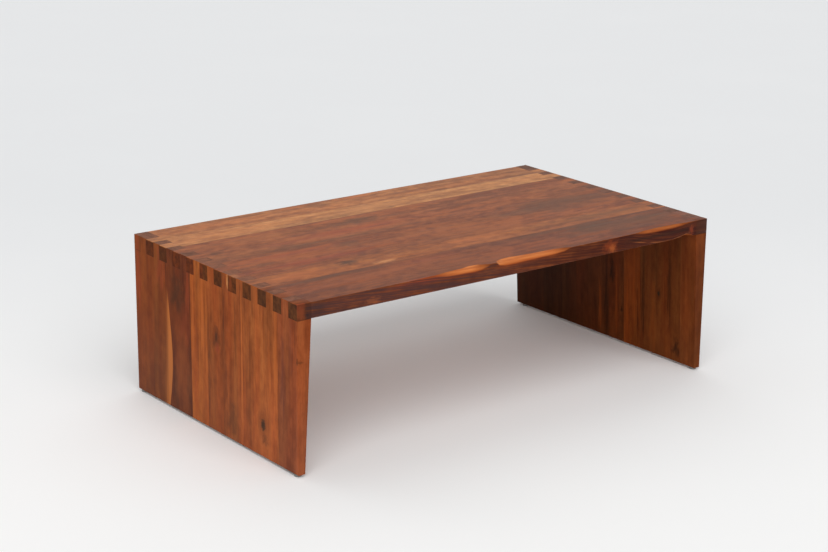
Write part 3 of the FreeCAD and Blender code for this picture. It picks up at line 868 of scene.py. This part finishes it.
# Levelling feet
def turned_surface(name, centre, radii, heights, material, smooth_angle):
    """A closed turned form: rows of radii, which may change round the turn, at heights above the floor.

    Each point is the radius times the cosine and the sine of its angle, and a pole closes each end.
    """
    rows, columns = radii.shape
    angle = np.linspace(0.0, 2 * np.pi, columns, endpoint=False)[None, :]
    across = np.stack([centre.x + radii * np.cos(angle), centre.y + radii * np.sin(angle)], axis=2)
    skin = np.concatenate([across, np.repeat(heights[:, None, None], columns, axis=1)], axis=2).reshape(-1, 3)
    poles = [[centre.x, centre.y, heights[0]], [centre.x, centre.y, heights[-1]]]
    here, after = np.arange(columns), (np.arange(columns) + 1) % columns
    row = np.arange(rows - 1)[:, None] * columns
    quads = np.stack([row + here, row + after, row + columns + after, row + columns + here], axis=2)
    last = (rows - 1) * columns
    bottom = np.stack([np.full(columns, rows * columns), after, here], axis=1)
    top = np.stack([np.full(columns, rows * columns + 1), last + here, last + after], axis=1)
    faces = quads.reshape(-1, 4).tolist() + bottom.tolist() + top.tolist()
    return new_piece(name, np.vstack([skin, poles]), faces, material, smooth_angle)


def rounded_profile(corners, steps=5):
    """Radius and height along an outline whose corners (radius, height, rounding, in millimetres) are arcs.

    Each corner is a quadratic curve between the points one rounding away along its two sides.
    """
    outline = np.array([corner[:2] for corner in corners], dtype=float)
    rows = [outline[:1]]
    share = np.linspace(0.0, 1.0, steps)[:, None]
    for place in range(1, len(corners) - 1):
        corner, rounding = outline[place], corners[place][2]
        arms = np.array([outline[place - 1] - corner, outline[place + 1] - corner])
        arms *= rounding / np.linalg.norm(arms, axis=1, keepdims=True)
        rows.append(corner + arms[0] * (1 - share) ** 2 + arms[1] * share**2)
    rows.append(outline[-1:])
    profile = np.vstack(rows) * MM
    return profile[:, 0], profile[:, 1]


AROUND_PAD = 72
AROUND_STEM = 60
POLE_RADIUS = 0.05
PAD_OUTLINE = [
    (POLE_RADIUS, 0.0, 0), (8.5, 0.0, 0.7), (8.5, 4.0, 0.8), (7.5, 6.0, 0.7), (3.05, 6.0, 0.3),
    (3.05, 3.6, 0.1), (4.55, 3.6, 0.1), (4.55, 1.5, 0.1), (POLE_RADIUS, 1.5, 0),
]
HEAD_OUTLINE = [
    (POLE_RADIUS, 1.55, 0), (4.5, 1.55, 0.3), (4.5, 3.55, 0.3), (2.4, 3.55, 0.1), (2.4, 4.4, 0),
]
THREAD_PITCH = 1 * MM
THREAD_ROOT = 2.4 * MM
THREAD_CREST = 3 * MM
RIDGE_SLOPE = 2.3
RIDGE_FOOT = 0.05
ROWS_PER_TURN = 10


def threaded_stem(name, centre, top, material):
    """The stem: a turned flat head, then a thread whose ridge climbs one pitch in each turn.

    The radius between root and crest follows the distance of height over pitch less the turn from the middle
    of its step, with a flat crest, and the ridge runs out at both ends.
    """
    head_radius, head_height = rounded_profile(HEAD_OUTLINE)
    start = head_height[-1]
    turns = (top - start) / THREAD_PITCH
    height = np.linspace(start, top, int(turns * ROWS_PER_TURN))[1:]
    angle = np.linspace(0.0, 2 * np.pi, AROUND_STEM, endpoint=False)
    step = (height[:, None] - start) / THREAD_PITCH - angle[None, :] / (2 * np.pi)
    ridge = np.clip(RIDGE_SLOPE * np.abs(step - np.floor(step) - 0.5) - RIDGE_FOOT, 0.0, 1.0)
    run_out = np.clip((height - start) / THREAD_PITCH, 0, 1) * np.clip((top - height) / THREAD_PITCH, 0, 1)
    thread = THREAD_ROOT + (THREAD_CREST - THREAD_ROOT) * ridge * run_out[:, None]
    head = np.repeat(head_radius[:, None], AROUND_STEM, axis=1)
    tip = np.full((1, AROUND_STEM), POLE_RADIUS * MM)
    radii = np.vstack([head, thread, tip])
    heights = np.concatenate([head_height, height, [top]])
    return turned_surface(name, centre, radii, heights, material, smooth_angle=40)


def moulded_plastic():
    """Grey moulded plastic: fine spark texture, a little cloudiness and paler scuffed edges underneath."""
    material, web, shader, surface = new_material("grey_pad_plastic")[:4]
    cloud = web.noise(surface, 130.0, 3.0)
    spark = web.noise(surface, 2600.0, 2.0, 0.6)
    grey = web.ramp(cloud, [(0.3, screen_colour(96, 95, 93)), (0.7, screen_colour(122, 121, 118))])
    height = web.split(surface)[2]
    scuffed = web.product(web.spread(height, 0.9 * MM, 0.1 * MM), web.spread(cloud, 0.35, 0.6))
    web.feed(shader["Base Color"], web.blend(web.product(scuffed, 0.5), grey, screen_colour(160, 158, 154)))
    web.feed(shader["Roughness"], web.spread(spark, 0.3, 0.7, 0.45, 0.62, False))
    web.feed(shader["Normal"], web.bump(spark, 0.3, 0.05 * MM))
    return material


def turned_metal(name, dark, light, roughness):
    """Turned metal: fine rings up the height, clouded plating and a soft unevenness in the shine."""
    material, web, shader, surface = new_material(name)[:4]
    rings = web.noise(surface, (60.0, 60.0, 5200.0), 2.0)
    cloud = web.noise(surface, 240.0, 3.0, 0.6)
    plating = web.ramp(cloud, [(0.3, screen_colour(*dark)), (0.7, screen_colour(*light))])
    web.feed(shader["Base Color"], plating)
    web.feed(shader["Roughness"], web.spread(cloud, 0.3, 0.7, roughness, roughness + 0.14, False))
    web.feed(shader["Normal"], web.bump(rings, 0.15, 0.03 * MM))
    shader["Metallic"].default_value = 1.0
    return material


pad_plastic = moulded_plastic()
stem_steel = turned_metal("zinc_plated_steel", (150, 152, 156), (196, 198, 200), 0.28)
insert_brass = turned_metal("turned_brass", (176, 132, 62), (212, 170, 96), 0.24)
for side in ("left", "right"):
    for end in ("front", "back"):
        low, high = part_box(f"foot_stem_{end}_{side}")
        middle = (low + high) / 2
        stem = threaded_stem(f"threaded_stem_{end}_{side}", middle, high.z, stem_steel)
        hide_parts(f"foot_stem_{end}_{side}")
        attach(stem, f"{end}_{side}_stem")
        pad_radius, pad_height = rounded_profile(PAD_OUTLINE)
        pad_rows = np.repeat(pad_radius[:, None], AROUND_PAD, axis=1)
        pad = turned_surface(f"moulded_pad_{end}_{side}", middle, pad_rows, FLOOR + pad_height, pad_plastic,
                             smooth_angle=50)
        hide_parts(f"foot_pad_{end}_{side}")
        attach(pad, f"{end}_{side}_pad")
        dress(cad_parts[f"foot_insert_{end}_{side}"], insert_brass)


# Studio
FLOOR_HALF_SIDE = 40.0
FLOOR_GAP = 0.1 * MM
ROOM_LIGHT = 0.40
ROOM_BRIGHTNESS = 0.80
# The paper's colour near the front and far to the back and right, where it is darker as painted shade
PAPER_NEAR = (0.955, 0.955, 0.95, 1.0)
PAPER_FAR = (0.80, 0.81, 0.82, 1.0)


def pale_paper():
    """Pale matt studio paper with a faint unevenness, and painted shade that makes it a little darker towards
    the back and the right, where less light falls.
    """
    material, web, shader, surface = new_material("studio_paper")[:4]
    cloud = web.off_centre(web.noise(surface, 1.5))
    away = web.spread(web.vector("DOT_PRODUCT", surface, (0.6, 0.8, 0.0)), -1.2, 2.0)
    paper = web.ramp(web.plus(away, cloud, 0.2), [(0.0, PAPER_NEAR), (1.0, PAPER_FAR)])
    web.feed(shader["Base Color"], paper)
    shader["Roughness"].default_value = 0.9
    shader["Specular IOR Level"].default_value = 0.2
    return material


def sky_light(name, towards, strength, width):
    """A broad even light from far away, from a direction, as wide as an angle in degrees."""
    data = bpy.data.lights.new(name, "SUN")
    data.energy = strength
    data.angle = math.radians(width)
    light = new_object(name, data)
    light.rotation_euler = Vector(towards).to_track_quat("Z", "Y").to_euler()


# The floor's corners are a two by two grid at one height
across, along = np.meshgrid([-FLOOR_HALF_SIDE, FLOOR_HALF_SIDE], [-FLOOR_HALF_SIDE, FLOOR_HALF_SIDE])
corners = np.column_stack([across.ravel(), along.ravel(), np.full(4, FLOOR - FLOOR_GAP)])
studio_floor = new_piece("studio_floor", corners, [(0, 1, 3, 2)], pale_paper(), smooth_angle=30)

world = bpy.data.worlds.new("studio_room")
world.use_nodes = True
room = Wiring(world.node_tree)
backdrop = world.node_tree.nodes["Background"].inputs
backdrop["Color"].default_value = (1.0, 1.0, 1.0, 1.0)
looked_at = room.add("ShaderNodeLightPath").outputs["Is Camera Ray"]
room.feed(backdrop["Strength"], room.spread(looked_at, 0.0, 1.0, ROOM_LIGHT, ROOM_BRIGHTNESS, False))
bpy.context.scene.world = world
sky_light("key_light", towards=(-0.33, -0.72, 0.61), strength=2.3, width=75.0)
sky_light("back_light", towards=(0.25, 0.75, 0.60), strength=0.7, width=90.0)

# Camera, from the photograph's straight edges: place, turn about the upright, tilt down and roll
CAMERA_PLACE = (-2.8312, -3.6486, 1.6547)
CAMERA_TURN = math.radians(37.458)
CAMERA_TILT = math.radians(16.721)
CAMERA_ROLL = math.radians(0.567)
CAMERA_LENS = 85.95


def camera_frame():
    """The camera's axes: right turned by the compass angle, up square to it and the view, both rolled."""
    level_ahead = Vector((math.sin(CAMERA_TURN), math.cos(CAMERA_TURN), 0.0))
    ahead = level_ahead * math.cos(CAMERA_TILT) - Vector((0.0, 0.0, math.sin(CAMERA_TILT)))
    level = Vector((math.cos(CAMERA_TURN), -math.sin(CAMERA_TURN), 0.0))
    upward = level.cross(ahead)
    right = level * math.cos(CAMERA_ROLL) + upward * math.sin(CAMERA_ROLL)
    up = upward * math.cos(CAMERA_ROLL) - level * math.sin(CAMERA_ROLL)
    turn = Matrix((right, up, -ahead)).transposed().to_4x4()
    return Matrix.Translation(CAMERA_PLACE) @ turn


lens = bpy.data.cameras.new("photo_camera")
lens.sensor_fit = "HORIZONTAL"
lens.sensor_width = 36.0
lens.lens = CAMERA_LENS
lens.clip_end = 200.0
camera = new_object("photo_camera", lens)
camera.matrix_world = camera_frame()
bpy.context.scene.camera = camera
bpy.context.scene.view_settings.view_transform = "Standard"
